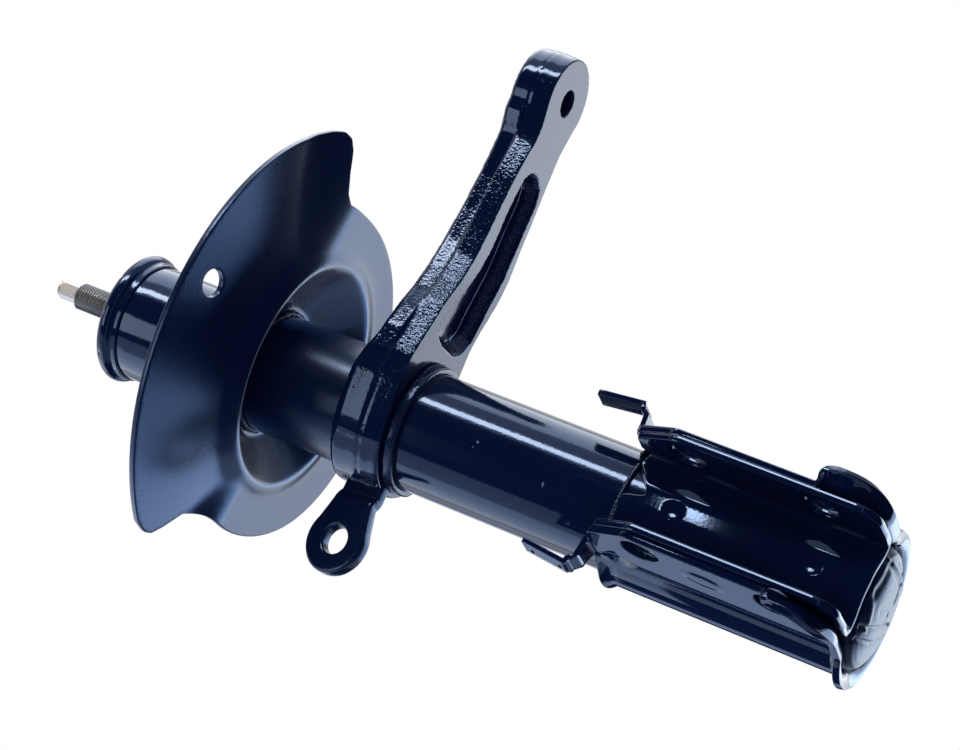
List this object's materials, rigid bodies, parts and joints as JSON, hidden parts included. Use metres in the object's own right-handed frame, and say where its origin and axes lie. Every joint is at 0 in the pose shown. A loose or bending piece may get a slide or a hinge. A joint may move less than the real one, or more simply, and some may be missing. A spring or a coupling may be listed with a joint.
{
  "type": "suspension strut",
  "caption": "Twin-tube suspension strut with spring seat, forged steering arm, link lug and pressed knuckle bracket.",
  "frame": {"origin": "centre of the lower knuckle bolt, in the middle of the gap between the bracket's ears", "axes": "+Z along the tube towards the piston rod, +X from the tube to the knuckle bolts, +Y along the knuckle bolts towards the steering arm"},
  "size_m": [0.1778, 0.2647, 0.3936],
  "materials": {
    "black_paint": "gloss",
    "painted_forging": "gloss paint over a rough forged skin",
    "plain_steel": "oiled",
    "ground_steel": "ground",
    "sintered_iron": "matte",
    "seal_rubber": "matte",
    "bush_bronze": "satin",
    "ring_plastic": "matte"
  },
  "bodies": {
    "strut_body": {"strut_tube": "black_paint", "tube_base_plate": "plain_steel", "bump_cap": "black_paint", "rod_seal": "seal_rubber", "seal_retainer": "plain_steel", "rod_guide": "sintered_iron", "guide_bush": "bush_bronze", "working_cylinder": "plain_steel", "base_valve_body": "sintered_iron", "base_valve_rivet": "ground_steel", "base_valve_discs": "plain_steel", "base_check_spring": "ground_steel", "spring_seat": "black_paint", "seat_weld": "black_paint", "steering_arm": "painted_forging", "arm_weld": "black_paint", "link_lug": "black_paint", "lug_weld": "black_paint", "bracket_outer": "black_paint", "bracket_inner": "black_paint", "bracket_weld": "black_paint"},
    "ring_slide": {"piston_ring": "ring_plastic"},
    "rod_assembly": {"piston_rod": "ground_steel", "rebound_bumper": "seal_rubber", "rebound_bumper_ring": "plain_steel", "piston": "sintered_iron", "piston_check_spring": "ground_steel", "piston_stop_washer": "plain_steel", "piston_discs": "plain_steel", "piston_nut": "plain_steel"},
    "piston_check": {"piston_check_plate": "plain_steel"},
    "base_check": {"base_check_plate": "plain_steel"}
  },
  "joints": [
    {"name": "rod_travel", "type": "slide", "parent": "strut_body", "child": "ring_slide", "axis": [0, 0, 1], "range_m": [0, 0.16]},
    {"name": "rod_turn", "type": "hinge", "parent": "ring_slide", "child": "rod_assembly", "pos_m": [-0.04, 0, 0.1], "axis": [0, 0, 1], "continuous": true},
    {"name": "piston_check_lift", "type": "slide", "parent": "rod_assembly", "child": "piston_check", "axis": [0, 0, 1], "range_m": [0, 0.0008], "stiffness_N_per_m": 500, "springref_m": -0.001, "deforming": ["piston_check_spring"]},
    {"name": "base_check_lift", "type": "slide", "parent": "strut_body", "child": "base_check", "axis": [0, 0, 1], "range_m": [0, 0.0008], "stiffness_N_per_m": 500, "springref_m": -0.001, "deforming": ["base_check_spring"]}
  ]
}
